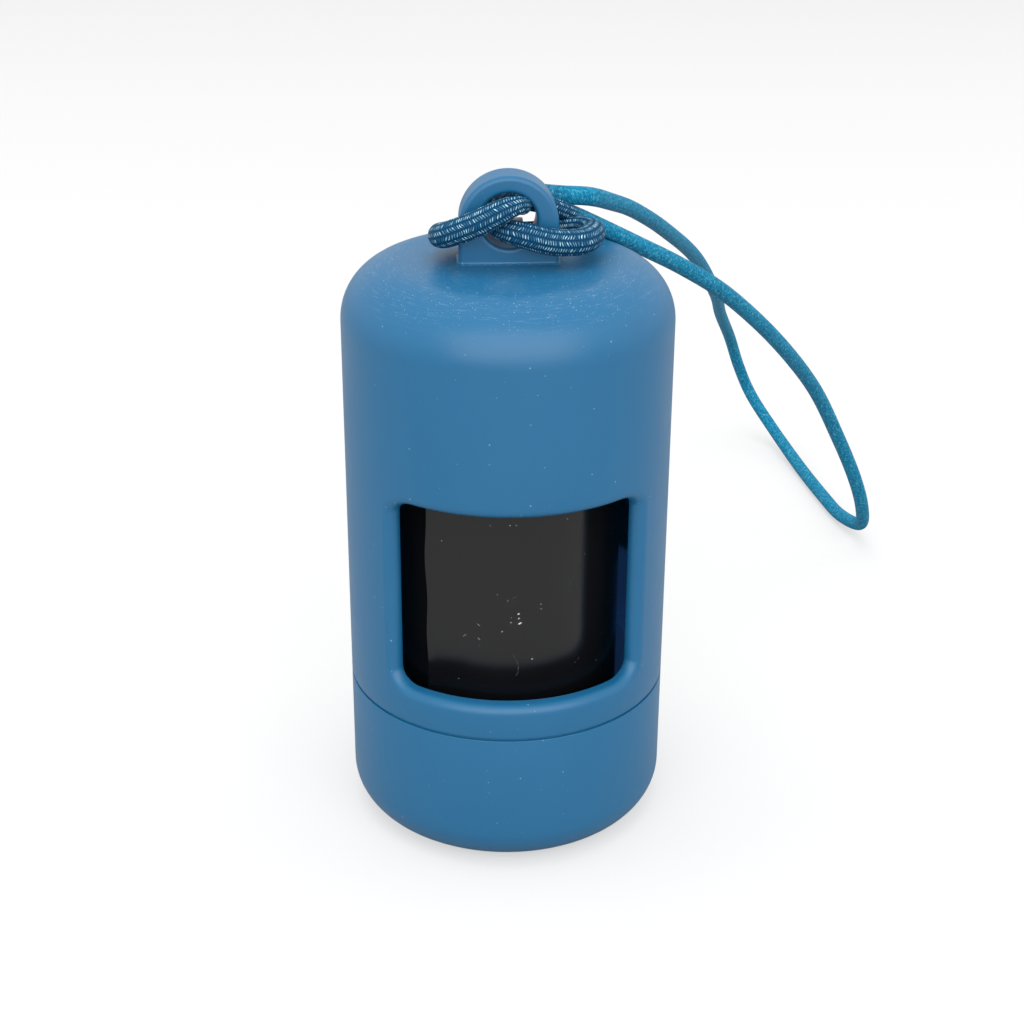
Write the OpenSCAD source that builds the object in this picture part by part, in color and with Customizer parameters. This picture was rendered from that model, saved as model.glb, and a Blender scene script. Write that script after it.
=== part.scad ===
// Dog waste bag dispenser: a screw-together pot that holds a roll of bags.
// Origin: centre of the base, on the surface that it stands on. +Z is up,
// and the window that the bags come out of faces -Y.

/* [Body] */
// Outer diameter of the body and the cap
body_d = 44; // [42:0.5:56]
// Height from the floor to the flat top, without the eye
body_h = 80; // [78:0.5:110]
// Thickness of the moulded walls
wall = 2; // [1.5:0.1:2.4]
// Radius of the rounded shoulder
shoulder_r = 7.7; // [4:0.1:9]

/* [Window] */
// Width of the window, measured straight across
window_w = 30; // [16:0.5:32]
// Height of the window
window_h = 27.8; // [16:0.2:34]
// Height of the band between the seam and the window sill
sill_h = 4.5; // [3.5:0.1:8]
// Radius of the window's corners
window_corner_r = 2.2; // [1:0.1:5]

/* [Cap] */
// Height of the cap, from the floor to the seam
cap_h = 20.8; // [16:0.1:24]
// Radius of the cap's rounded bottom edge
foot_r = 5.9; // [3:0.1:6.2]
// Radius that eases the two edges at the seam
seam_r = 0.3; // [0.1:0.05:0.6]
// Height of the hollow stub that centres the bag roll
stub_h = 5; // [3:0.5:10]

/* [Screw] */
// Length of the body's neck inside the cap
neck_l = 8; // [7:0.5:10]
// Wall of the neck
neck_wall = 1.4; // [1:0.1:1.6]
// Lead of the thread, one start
thread_pitch = 4; // [3.6:0.1:4.4]
// Depth of each thread ridge
thread_depth = 0.9; // [0.5:0.05:1.1]
// Turns of each thread ridge
thread_turns = 1.2; // [0.8:0.1:1.3]
// Radial gap between a ridge and the wall it faces
thread_gap = 0.2; // [0.1:0.05:0.3]

/* [Eye] */
// Width of the eye plate
eye_w = 12.9; // [11.5:0.1:14]
// Thickness of the eye plate
eye_t = 5; // [3.5:0.1:5.4]
// Height of the eye above the flat top
eye_rise = 11.5; // [10.5:0.1:14]
// Diameter of the cord hole
eye_hole_d = 7.2; // [6.6:0.1:8]
// Height of the cord hole's centre above the flat top
eye_hole_rise = 5.7; // [5.2:0.1:6]

/* [Bag roll] */
// Outer diameter of the full roll
roll_d = 31; // [20:0.5:33]
// Length of the roll, the width of the folded film
roll_l = 60; // [50:0.5:64]
// Outer diameter of the paper core
core_d = 13; // [11:0.5:16]
// Wall of the paper core
core_wall = 0.9; // [0.5:0.1:1.2]
// Length that the core stands out of the film at each end
core_proud = 0.5; // [0.3:0.1:1.5]
// Radial running clearance of the film on its core
core_fit = 0.08; // [0.02:0.01:0.1]
// Radial clearance of the core round the cap's stub
stub_gap = 0.3; // [0.15:0.05:0.5]

/* [Cord] */
// Diameter of the elastic cord
cord_d = 2.8; // [2.4:0.1:3]
// Length of the splice sleeve
sleeve_l = 7; // [5:0.5:7]
// Wall of the splice sleeve
sleeve_wall = 0.45; // [0.3:0.05:0.5]
// Radial clearance of the cord in its sleeve
sleeve_fit = 0.1; // [0.05:0.05:0.15]

/* [Hidden] */
$fn = 96;

body_r = body_d / 2;
bore_r = body_r - wall;
window_z = cap_h + sill_h;
roll_r = roll_d / 2;
core_r = core_d / 2;
core_bore_r = core_r - core_wall;
core_z = wall;
core_l = roll_l + 2 * core_proud;
stub_r = core_bore_r - stub_gap;

// The neck's ridge crest clears the cap's bore, and the cap's ridge crest
// clears the neck.
neck_r = bore_r - thread_gap - thread_depth;
neck_bore_r = neck_r - neck_wall;
thread_root_w = 1.8;
thread_crest_w = 0.9;
thread_sink = 0.3;
thread_steps = 36;
neck_end_gap = 1.4;
thread_z = cap_h - neck_l + neck_end_gap;
thread_end_steps = 4;
thread_tip = 0.35;

eye_arc_r = eye_w / 2;
eye_ease = 0.5;
cut = 1;

// The route of the cord, from inside the sleeve, round the left of the eye,
// out of its hole, down to the floor and back to the sleeve.
cord_route = [
  [-1.5, 4.8, 82.2], [-4, 4.8, 82.2], [-6.6, 4.3, 82.2], [-8.6, 2.2, 82.8],
  [-9, -0.8, 83.8], [-7.7, -3.6, 84.9], [-4, -4.3, 86.4], [-1.2, -4.4, 87.4],
  [0.8, -3.6, 87.6], [1.5, -1.8, 87.1], [1.6, 0.6, 86.5], [2, 3.2, 85.6],
  [4.2, 6, 84.9], [8, 7.5, 84.4], [12, 10.2, 82], [18.5, 14.5, 77.5], [26, 21, 72],
  [34, 29, 65], [44, 41.5, 53.5], [53.5, 56, 40], [60.5, 64.5, 28], [65, 69, 18],
  [68, 73, 10.5], [69, 79.5, 4], [67.5, 88, 1.8], [66, 97, 1.6], [64, 112, 1.6],
  [61, 126.5, 3.6], [57, 132.5, 9], [54, 132.5, 15.5], [51, 128, 23.5],
  [46.5, 113.5, 33.5], [42, 93, 44.5], [34, 64.5, 60], [25.5, 40, 72],
  [19, 25, 79.5], [14.5, 15.5, 83.7], [11.2, 8.6, 86], [7.5, 5.4, 87.2],
  [3.2, 4.8, 88.2], [-0.4, 4.2, 87.6], [-1.8, 2.2, 86.4], [-2, -0.6, 85.4],
  [-1.2, -3, 84.9], [1.4, -4.1, 84.5], [5.5, -4.1, 83.6], [9.3, -3.2, 83.3],
  [11.2, 0, 83.4], [9.9, 3.3, 83.2], [6.8, 4.7, 82.6], [3, 4.8, 82.2],
  [-1.3, 4.8, 82.2]
];
cord_sides = 8;
cord_ring_gap = 9.5;
cord_bend = 0.35;
route_end = len(cord_route) - 1;
sleeve_mid = (cord_route[0] + cord_route[route_end]) / 2;
sleeve_bore_r = cord_d / 2 + sleeve_fit;

// Half section of a pot: a corner rounded at the top, x is the radius.
module rounded_section(r, h, fillet) {
  square([r, h - fillet]);
  square([r - fillet, h]);
  translate([r - fillet, h - fillet]) circle(fillet);
}

// Half section of a short ring edge that is rounded at its outer corner.
module eased_edge(r, ease) {
  difference() {
    translate([r - ease, -cut]) square([ease + cut, ease + cut]);
    translate([r - ease, ease]) circle(ease);
    translate([r - 2 * ease, 0]) square([ease, 2 * ease]);
  }
}

function mix(a, b, f) = a + (b - a) * f;

// One ridge of a screw thread, right handed, from z up. It is sunk into the
// wall at root_r and thins out at both ends.
module thread_ridge(root_r, crest_r, z) {
  steps = round(thread_turns * thread_steps);
  function fade(i) = min(1, min(i, steps - i) / thread_end_steps);
  function corner(i, r, dz) =
    let (a = 360 * i / thread_steps)
    [r * cos(a), r * sin(a), z + thread_pitch * i / thread_steps + dz];
  function section(i) =
    let (tip_r = mix(root_r, crest_r, mix(thread_tip, 1, fade(i))))
    [corner(i, root_r, -thread_root_w / 2), corner(i, tip_r, -thread_crest_w / 2),
     corner(i, tip_r, thread_crest_w / 2), corner(i, root_r, thread_root_w / 2)];
  pts = [for (i = [0 : steps]) each section(i)];
  outward = crest_r > root_r;
  side_faces = [for (i = [0 : steps - 1], k = [0 : 3])
    let (a = 4 * i + k, b = 4 * i + (k + 1) % 4, c = b + 4, d = a + 4)
    each outward ? [[a, b, c], [a, c, d]] : [[a, c, b], [a, d, c]]];
  first = outward ? [[0, 2, 1], [0, 3, 2]] : [[0, 1, 2], [0, 2, 3]];
  n = 4 * steps;
  last = outward ? [[n, n + 1, n + 2], [n, n + 2, n + 3]]
                 : [[n, n + 2, n + 1], [n, n + 3, n + 2]];
  polyhedron(points = pts, faces = concat(side_faces, first, last));
}

// Outline of the eye, seen from the front, with its foot sunk in the top.
module eye_outline() {
  arc_z = body_h + eye_rise - eye_arc_r;
  translate([0, arc_z]) circle(eye_arc_r);
  translate([-eye_arc_r, body_h - wall / 2])
    square([eye_w, arc_z - body_h + wall / 2]);
}

// The cord hole, waisted so that its two rims are rounded.
module eye_hole() {
  hole_r = eye_hole_d / 2;
  translate([0, 0, body_h + eye_hole_rise]) rotate([90, 0, 0]) rotate_extrude()
    difference() {
      translate([0, -eye_t / 2 - cut]) square([hole_r + eye_ease, eye_t + 2 * cut]);
      translate([hole_r, eye_ease - eye_t / 2])
        square([eye_ease + cut, eye_t - 2 * eye_ease]);
      for (side = [-1, 1])
        translate([hole_r + eye_ease, side * (eye_t / 2 - eye_ease)]) circle(eye_ease);
    }
}

// Cutter for the window, through the front wall only.
module window_cut() {
  w = window_w / 2 - window_corner_r;
  h = window_h - window_corner_r;
  translate([0, -roll_r / 2, window_z]) rotate([90, 0, 0])
    linear_extrude(height = body_r) {
      for (x = [-w, w], z = [window_corner_r, h]) translate([x, z])
        circle(window_corner_r);
      translate([-w, 0]) square([2 * w, window_h]);
      translate([-window_w / 2, window_corner_r])
        square([window_w, window_h - 2 * window_corner_r]);
    }
}

// Body with its neck, ledge, dome and eye, all one moulding.
module upper_shell() {
  color([0.22, 0.46, 0.63]) difference() {
    union() {
      rotate_extrude() difference() {
        rounded_section(body_r, body_h, shoulder_r);
        translate([0, -cut]) square([neck_bore_r, cap_h + wall + 2 * cut]);
        translate([neck_r, -cut]) square([body_r, cap_h + cut]);
        translate([0, -cut]) square([neck_r + cut, cap_h - neck_l + cut]);
        translate([0, cap_h + wall])
          rounded_section(bore_r, body_h - cap_h - 2 * wall, shoulder_r - wall);
        translate([0, cap_h]) eased_edge(body_r, seam_r);
      }
      thread_ridge(neck_r - thread_sink, neck_r + thread_depth, thread_z);
      rotate([90, 0, 0]) linear_extrude(height = eye_t, center = true) eye_outline();
    }
    eye_hole();
    window_cut();
  }
}

// Screw cap: a cup with a rounded foot, a thread and a stub for the roll.
module base_cap() {
  inner_foot_r = foot_r - wall;
  stub_wall = 1.5;
  color([0.2, 0.44, 0.61]) union() {
    rotate_extrude() difference() {
      translate([0, cap_h]) mirror([0, 1]) rounded_section(body_r, cap_h, foot_r);
      translate([0, cap_h + cut]) mirror([0, 1])
        rounded_section(bore_r, cap_h + cut - wall, inner_foot_r);
      translate([0, cap_h]) mirror([0, 1]) eased_edge(body_r, seam_r);
    }
    translate([0, 0, wall / 2]) rotate_extrude()
      translate([stub_r - stub_wall, 0]) square([stub_wall, stub_h + wall / 2]);
    thread_ridge(bore_r + thread_sink, bore_r - thread_depth,
                 thread_z - thread_pitch / 2);
  }
}

// Paper tube that the film is wound on. It stands on the cap's floor.
module roll_core() {
  color([0.72, 0.6, 0.45]) translate([0, 0, core_z]) difference() {
    cylinder(r = core_r, h = core_l);
    translate([0, 0, -cut]) cylinder(r = core_bore_r, h = core_l + 2 * cut);
  }
}

// The wound strip of bags, as one solid ring.
module bag_roll() {
  color([0.05, 0.05, 0.06]) translate([0, 0, core_z + core_proud]) difference() {
    cylinder(r = roll_r, h = roll_l);
    translate([0, 0, -cut]) cylinder(r = core_r + core_fit, h = roll_l + 2 * cut);
  }
}

// Point on the smooth curve through the route, at t from 0 to 1 in span i.
function route_point(i) = i < 0 ? 2 * cord_route[0] - cord_route[1]
  : i > route_end ? 2 * cord_route[route_end] - cord_route[route_end - 1]
  : cord_route[i];
function curve_point(i, t) =
  let (a = route_point(i - 1), b = route_point(i), c = route_point(i + 1),
       d = route_point(i + 2))
  0.5 * (2 * b + (c - a) * t + (2 * a - 5 * b + 4 * c - d) * pow(t, 2)
         + (3 * b - a - 3 * c + d) * pow(t, 3));
function unit(v) = v / norm(v);

// Rings in span i: two where the route bends, more where the span is long.
function bends(i) =
  norm(unit(route_point(i + 1) - route_point(i))
       - unit(route_point(i + 2) - route_point(i))) > cord_bend;
function span_steps(i) =
  max(bends(i) ? 2 : 1, ceil(norm(route_point(i + 1) - route_point(i)) / cord_ring_gap));

// A tube swept along the route, its rings kept from twisting by carrying
// the side vector of each ring on to the next.
module swept_cord(r) {
  line = concat([for (i = [0 : route_end - 1], k = [0 : span_steps(i) - 1])
    curve_point(i, k / span_steps(i))], [cord_route[route_end]]);
  n = len(line) - 1;
  function along(i) = unit(line[min(i + 1, n)] - line[max(i - 1, 0)]);
  sides = [for (i = 0, s = [0, 1, 0]; i <= n;
    i = i + 1, s = i <= n ? unit(s - (s * along(i)) * along(i)) : s) s];
  pts = [for (i = [0 : n]) let (u = sides[i], v = cross(along(i), u))
    for (k = [0 : cord_sides - 1]) let (a = 360 * k / cord_sides)
    line[i] + r * (cos(a) * u + sin(a) * v)];
  walls = [for (i = [0 : n - 1], k = [0 : cord_sides - 1])
    let (a = i * cord_sides + k, b = i * cord_sides + (k + 1) % cord_sides)
    each [[a, b + cord_sides, b], [a, a + cord_sides, b + cord_sides]]];
  ends = [[for (k = [0 : cord_sides - 1]) k],
          [for (k = [cord_sides - 1 : -1 : 0]) n * cord_sides + k]];
  polyhedron(points = pts, faces = concat(walls, ends));
}

module elastic_cord() {
  color([0.06, 0.37, 0.5]) swept_cord(cord_d / 2);
}

// Short sleeve behind the eye, round both ends of the cord.
module splice_sleeve() {
  color([0.05, 0.16, 0.24]) translate(sleeve_mid) rotate([0, 90, 0]) difference() {
    cylinder(r = sleeve_bore_r + sleeve_wall, h = sleeve_l, center = true);
    cylinder(r = sleeve_bore_r, h = sleeve_l + cut, center = true);
  }
}

upper_shell();
base_cap();
roll_core();
bag_roll();
elastic_cord();
splice_sleeve();
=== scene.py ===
import bpy
import bmesh
import math
import random
from mathutils import Matrix, Vector


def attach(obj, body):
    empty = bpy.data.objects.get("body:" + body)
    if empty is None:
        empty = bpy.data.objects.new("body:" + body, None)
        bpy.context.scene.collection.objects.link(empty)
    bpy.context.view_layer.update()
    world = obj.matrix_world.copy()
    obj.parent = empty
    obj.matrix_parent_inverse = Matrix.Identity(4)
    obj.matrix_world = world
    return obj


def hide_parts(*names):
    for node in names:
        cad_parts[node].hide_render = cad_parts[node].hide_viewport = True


# A screw-together pot for dog bags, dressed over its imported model. Sizes are
# written in mm, and mm below brings them to Blender's metres.
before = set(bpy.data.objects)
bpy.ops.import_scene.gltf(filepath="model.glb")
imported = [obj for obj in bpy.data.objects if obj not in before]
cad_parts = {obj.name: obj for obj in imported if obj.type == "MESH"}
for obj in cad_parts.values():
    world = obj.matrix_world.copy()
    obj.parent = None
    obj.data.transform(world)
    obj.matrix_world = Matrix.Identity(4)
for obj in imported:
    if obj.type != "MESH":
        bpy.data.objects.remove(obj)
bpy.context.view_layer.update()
mm = 0.001
scene = bpy.context.scene
scene.view_settings.view_transform = "Standard"


# --- small helpers used by every piece

def newObject(name, bm, smoothAngle=35):
    mesh = bpy.data.meshes.new(name)
    bm.to_mesh(mesh)
    bm.free()
    mesh.shade_smooth()
    mesh.set_sharp_from_angle(angle=math.radians(smoothAngle))
    piece = bpy.data.objects.new(name, mesh)
    scene.collection.objects.link(piece)
    return piece


def arcPoints(centreR, centreZ, radius, fromDeg, toDeg, count):
    # points of an arc in the (radius, height) plane, in mm
    points = []
    for i in range(count + 1):
        a = math.radians(fromDeg + (toDeg - fromDeg) * i / count)
        points.append((centreR + radius * math.cos(a), centreZ + radius * math.sin(a)))
    return points


def spinProfile(bm, profile, steps, closed=True):
    # turns a (radius, height) outline in mm once round the Z axis
    verts = [bm.verts.new((r * mm, 0, z * mm)) for r, z in profile]
    edges = [bm.edges.new(pair) for pair in zip(verts, verts[1:])]
    if closed:
        edges.append(bm.edges.new((verts[-1], verts[0])))
    bmesh.ops.spin(bm, geom=verts + edges, cent=(0, 0, 0), axis=(0, 0, 1), dvec=(0, 0, 0),
                   angle=math.tau, steps=steps, use_merge=True, use_normal_flip=False,
                   use_duplicate=False)
    bmesh.ops.remove_doubles(bm, verts=bm.verts[:], dist=1e-6)


def growRing(bm, ring, rootOf):
    # extrudes a ring of edges once; rootOf gives what each vertex first grew from
    grown = bmesh.ops.extrude_edge_only(bm, edges=ring)["geom"]
    newVerts = {g for g in grown if isinstance(g, bmesh.types.BMVert)}
    newRootOf = {}
    for v in newVerts:
        below = [e.other_vert(v) for e in v.link_edges if e.other_vert(v) not in newVerts][0]
        newRootOf[v] = rootOf[below]
    newRing = [g for g in grown if isinstance(g, bmesh.types.BMEdge)
               and all(v in newVerts for v in g.verts)]
    return newRing, newRootOf


def joinInto(bm, other):
    mesh = bpy.data.meshes.new("joined")
    other.to_mesh(mesh)
    other.free()
    bm.from_mesh(mesh)
    bpy.data.meshes.remove(mesh)


def turnOutward(bm):
    bmesh.ops.remove_doubles(bm, verts=bm.verts[:], dist=1e-6)
    bmesh.ops.recalc_face_normals(bm, faces=bm.faces[:])


ridgeSetup = {
    "rootW": 1.8, "crestW": 0.9,    # mm, width at the root and at the crest
    "sunk": 0.3,                    # mm that the root lies inside its wall
    "steps": 72,                    # in one turn
    "fade": 40, "endShare": 0.35,   # degrees over which an end thins out, and how far
}


def helicalRidge(bm, rootR, thread, s):
    # one thread ridge, right handed, thinning out over its first and last steps
    crestR, startZ, pitch = thread["crestR"], thread["startZ"], thread["pitch"]
    turns, steps = thread["turns"], s["steps"]
    rootHalf, crestHalf = s["rootW"] / 2, s["crestW"] / 2
    section = [(rootR, -rootHalf), (crestR, -crestHalf), (crestR, crestHalf), (rootR, rootHalf)]
    verts = [bm.verts.new((r * mm, 0, (startZ + z) * mm)) for r, z in section]
    edges = [bm.edges.new((verts[i], verts[(i + 1) % 4])) for i in range(4)]
    count = round(turns * steps)
    before = set(bm.verts) - set(verts)
    result = bmesh.ops.spin(bm, geom=verts + edges, cent=(0, 0, 0), axis=(0, 0, 1),
                            dvec=(0, 0, pitch * mm / steps), angle=math.tau * turns, steps=count,
                            use_merge=False, use_normal_flip=False, use_duplicate=False)
    ends = [e for e in result["geom_last"] if isinstance(e, bmesh.types.BMEdge)]
    bmesh.ops.contextual_create(bm, geom=edges)
    bmesh.ops.contextual_create(bm, geom=ends)
    fade = math.radians(s["fade"])
    for v in set(bm.verts) - before:
        radius = math.hypot(v.co.x, v.co.y)
        # the angle travelled follows from the height, which climbs with the turn
        travelled = (v.co.z - startZ * mm) / (pitch * mm) * math.tau
        nearEnd = min(travelled, math.tau * turns - travelled)
        share = max(s["endShare"], min(1, nearEnd / fade + s["endShare"]))
        if abs(radius - crestR * mm) < 1e-5:
            wanted = (rootR + (crestR - rootR) * share) * mm
            v.co.x *= wanted / radius
            v.co.y *= wanted / radius


# --- camera, at the photograph's viewing angle

cameraSetup = {
    "place": (-10.05, -235.99, 152.71),  # mm
    "turn": -2.6,                        # degrees about Z
    "down": 24.755,                      # degrees below level
    "roll": 0.3056,
    "lens": 66.28, "sensor": 36,         # mm
    "near": 0.01, "far": 20,             # m
}


def addCamera(setup):
    data = bpy.data.cameras.new("stillCamera")
    data.lens = setup["lens"]
    data.sensor_width = setup["sensor"]
    data.clip_start = setup["near"]
    data.clip_end = setup["far"]
    camera = bpy.data.objects.new("stillCamera", data)
    scene.collection.objects.link(camera)
    turn = (Matrix.Rotation(math.radians(setup["turn"]), 4, "Z")
            @ Matrix.Rotation(math.radians(90 - setup["down"]), 4, "X")
            @ Matrix.Rotation(math.radians(setup["roll"]), 4, "Z"))
    camera.matrix_world = Matrix.Translation(Vector(setup["place"]) * mm) @ turn
    scene.camera = camera


addCamera(cameraSetup)
print("camera placed")


# --- elastic cord: hitched through the eye, down to the floor and back

cordSetup = {
    "diameter": 2.8,                    # mm, as the solid
    "ringGap": 0.19, "sides": 36,
    "curveSteps": 40,                   # between two points of the route
    "easePasses": 12,                   # ease the tightest turns
    "rows": 12,                         # rows of stitches round the cord
    "rowDepth": 0.025, "rowPower": 0.6,
    "drawnRelief": 0.15,                # share of the rows' depth that the drawn loop keeps
    "stitch": 0.3,                      # length of one stitch along the cord
    # the cord is slack this near to its start, and up to this y; then it gets taut
    "slackReach": 18, "slackFade": 4, "slackY": 7.5, "slackFadeY": 2,
}

# x, y, z and the cord's own radius there: fat where it is slack, thin where it is
# squeezed through the eye or drawn along the loop
cordRoute = [
    (-1.5, 4.8, 82.2, 1.4), (-4, 4.8, 82.2, 1.4), (-6.6, 4.3, 82.2, 1.4), (-8.4, 2.2, 82.7, 1.5),
    (-8.75, -0.9, 83.5, 1.65), (-7.5, -3.9, 84.6, 1.7), (-4, -5, 86.25, 1.7),
    (-1.2, -5, 87.65, 1.6), (0.8, -4, 88.2, 1.25), (1.75, -2.2, 87.65, 1.15),
    (1.6, 0.2, 87.2, 1.2), (2.1, 3, 86.9, 1.25), (4.7, 4.2, 86.1, 1.25), (7.8, 5.3, 84.7, 1.25),
    (12, 9.9, 81.7, 1.2), (18.5, 14.5, 77.4, 1.2), (26, 21, 72, 1.2), (34, 29, 65, 1.2),
    (44, 41.5, 53.5, 1.2), (53.5, 56, 40, 1.2), (60.1, 64.5, 27.8, 1.2), (64.8, 69, 18, 1.2),
    (67.7, 73, 10.3, 1.2), (69.3, 79.5, 3.7, 1.2), (67.5, 88, 1.6, 1.2), (66, 97, 1.4, 1.2),
    (64, 112, 1.4, 1.2), (61, 126.5, 3.6, 1.15), (57, 132.5, 9, 1.15), (54, 132.5, 15.5, 1.15),
    (51, 128, 23.5, 1.15), (46.5, 113.5, 33.5, 1.15), (42, 93, 44.5, 1.15), (34, 64.5, 60, 1.15),
    (25.5, 40, 72, 1.15), (19, 25, 79.35, 1.15), (14.5, 15.5, 83.3, 1.2), (11.2, 8.9, 85.8, 1.25),
    (7.6, 7.3, 86.45, 1.25), (3.4, 6.5, 87, 1.25), (0.4, 5, 87.4, 1.2), (-1.7, 2.4, 86.6, 1.2),
    (-2, -0.6, 85.6, 1.25), (-1.2, -2.8, 84.9, 1.4), (1.4, -4.2, 84.5, 1.65),
    (5.5, -4.3, 83.5, 1.72), (9.2, -3.3, 83.25, 1.72), (11, 0, 83.4, 1.65),
    (9.9, 3.3, 83.2, 1.45), (6.8, 4.7, 82.6, 1.4), (3, 4.8, 82.2, 1.4), (-1.3, 4.8, 82.2, 1.4),
]


def smoothRoute(route, setup):
    # one smooth curve through the route, as points an even gap apart, in metres
    points = [Vector(p) * mm for p in route]     # four numbers each, the last a radius
    points = [2 * points[0] - points[1]] + points + [2 * points[-1] - points[-2]]
    dense = []
    for a, b, c, d in zip(points, points[1:], points[2:], points[3:]):
        for k in range(setup["curveSteps"]):
            t = k / setup["curveSteps"]
            dense.append(0.5 * (2 * b + (c - a) * t + (2 * a - 5 * b + 4 * c - d) * t ** 2
                                + (3 * b - a - 3 * c + d) * t ** 3))
    dense.append(points[-2])
    lengths = [0]
    for a, b in zip(dense, dense[1:]):
        lengths.append(lengths[-1] + (b - a).to_3d().length)
    count = round(lengths[-1] / (setup["ringGap"] * mm))
    even, j = [], 0
    for i in range(count + 1):
        wanted = lengths[-1] * i / count
        while j < len(lengths) - 2 and lengths[j + 1] < wanted:
            j += 1
        t = (wanted - lengths[j]) / max(1e-9, lengths[j + 1] - lengths[j])
        even.append(dense[j].lerp(dense[j + 1], t))
    for _ in range(setup["easePasses"]):
        eased = [(a + 2 * b + c) / 4 for a, b, c in zip(even, even[1:], even[2:])]
        even = [even[0]] + eased + [even[-1]]
    return [p.to_3d() for p in even], [p.w for p in even], lengths[-1]


def addCord(setup, route):
    line, radii, length = smoothRoute(route, setup)
    last = len(line) - 1
    sides = setup["sides"]
    heads, acrosses = [], []
    across = Vector((0, 1, 0))
    for i in range(last + 1):
        head = (line[min(i + 1, last)] - line[max(i - 1, 0)]).normalized()
        across = (across - across.dot(head) * head).normalized()
        heads.append(head)
        acrosses.append(across.copy())
    bm = bmesh.new()
    bmesh.ops.create_grid(bm, x_segments=sides, y_segments=last, size=0.5)
    # slack: 1 in the turns round the eye, 0 along the drawn loop
    slack = bm.verts.layers.float.new("slack")
    uv = bm.loops.layers.uv.new("alongCord")
    for face in bm.faces:
        for loop in face.loops:
            x, y = loop.vert.co.x + 0.5, loop.vert.co.y + 0.5
            loop[uv].uv = (x * setup["rows"], y * length / (setup["stitch"] * mm))
    for v in bm.verts:
        turn, i = v.co.x + 0.5, round((v.co.y + 0.5) * last)
        row = turn * setup["rows"]
        left = setup["slackReach"] - (line[i] - line[0]).length / mm
        leftY = setup["slackY"] - line[i].y / mm
        v[slack] = (min(1, max(0, left / setup["slackFade"]))
                    * min(1, max(0, leftY / setup["slackFadeY"])))
        relief = abs(math.sin(math.pi * row)) ** setup["rowPower"] - 1
        kept = setup["drawnRelief"] + (1 - setup["drawnRelief"]) * v[slack]
        radius = radii[i] + setup["rowDepth"] * mm * relief * kept
        side = heads[i].cross(acrosses[i])
        a = math.tau * turn
        v.co = line[i] + radius * (math.cos(a) * acrosses[i] + math.sin(a) * side)
    turnOutward(bm)
    bmesh.ops.holes_fill(bm, edges=[e for e in bm.edges if e.is_boundary], sides=0)
    cord = newObject("braidedCord", bm, 80)
    return cord, line, length


cord, cordLine, cordLength = addCord(cordSetup, cordRoute)
print("cord made, %.0f mm long" % (cordLength / mm))


# --- splice sleeve, behind the eye

sleeveSetup = {
    "middle": (-1.4, 4.8, 82.2), "length": 7, "bore": 1.5, "outer": 1.95, "lip": 0.2,
    "steps": 48, "lipSteps": 4,
    "waist": 0.06, "waistShare": 0.4,   # it shrinks a little over the middle of its length
}


def addSleeve(setup):
    half, lip = setup["length"] / 2, setup["lip"]
    bore, outer = setup["bore"], setup["outer"]
    waistR, waistZ = outer - setup["waist"], half * setup["waistShare"]
    steps = setup["lipSteps"]
    profile = [(bore, -half + lip)] + arcPoints(outer - lip, -half + lip, lip, -90, 0, steps)
    profile += [(waistR, -waistZ), (waistR, waistZ)]
    profile += arcPoints(outer - lip, half - lip, lip, 0, 90, steps) + [(bore, half - lip)]
    bm = bmesh.new()
    spinProfile(bm, profile, setup["steps"])
    turnOutward(bm)
    lay = (Matrix.Translation(Vector(setup["middle"]) * mm)
           @ Matrix.Rotation(math.radians(90), 4, "Y"))
    bmesh.ops.transform(bm, matrix=lay, verts=bm.verts[:])
    return newObject("spliceSleeve", bm, 40)


sleeve = addSleeve(sleeveSetup)
print("sleeve made")


# --- body: one moulding with its neck, thread, window and eye

bodySetup = {
    "outerR": 22, "boreR": 20, "top": 80, "shoulder": 7.7, "wall": 2,
    "seam": 20.8, "seamEase": 0.08, "grooveR": 21.66, "grooveLow": 20.38,
    "neckR": 18.9, "neckBore": 17.5, "neckLow": 12.8, "neckEase": (0.3, 0.2),
    "steps": 144,
    "windowMid": 0.46, "windowHalf": 15, "windowLow": 25.5, "windowHigh": 52.65,
    "corner": 2.2, "cornerSteps": 10, "edgeRound": 1.3, "edgeSteps": 8,
    "rimSearch": 0.12,   # how far from its outline a point of the hole's rim may lie
    "sheetLow": 22.9, "sheetHigh": 57, "sheetTurns": 23,   # the front patch, in steps each side
    "thread": {"crestR": 19.8, "startZ": 14.2, "pitch": 4, "turns": 1.2},
}


def bodyProfile(s):
    inner = s["shoulder"] - s["wall"]
    top, outer, bore = s["top"], s["outerR"], s["boreR"]
    profile = [(0, top)]
    profile += arcPoints(outer - s["shoulder"], top - s["shoulder"], s["shoulder"], 90, 0, 20)
    profile += [(outer, s["sheetHigh"]), (outer, s["sheetLow"])]
    profile += arcPoints(outer - s["seamEase"], s["seam"] + s["seamEase"], s["seamEase"], 0, -90, 4)
    profile += [(s["grooveR"], s["seam"]), (s["grooveR"], s["grooveLow"])]
    outEase, inEase = s["neckEase"]
    neckR, neckBore, neckLow = s["neckR"], s["neckBore"], s["neckLow"]
    profile += [(neckR, s["grooveLow"]), (neckR, neckLow + outEase), (neckR - outEase, neckLow)]
    profile += [(neckBore + inEase, neckLow), (neckBore, neckLow + inEase)]
    profile += [(neckBore, s["seam"] + s["wall"]), (bore, s["seam"] + s["wall"])]
    profile += [(bore, s["sheetLow"]), (bore, s["sheetHigh"])]
    profile += arcPoints(bore - inner, top - s["wall"] - inner, inner, 0, 90, 12)
    profile += [(0, top - s["wall"])]
    return profile


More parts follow.
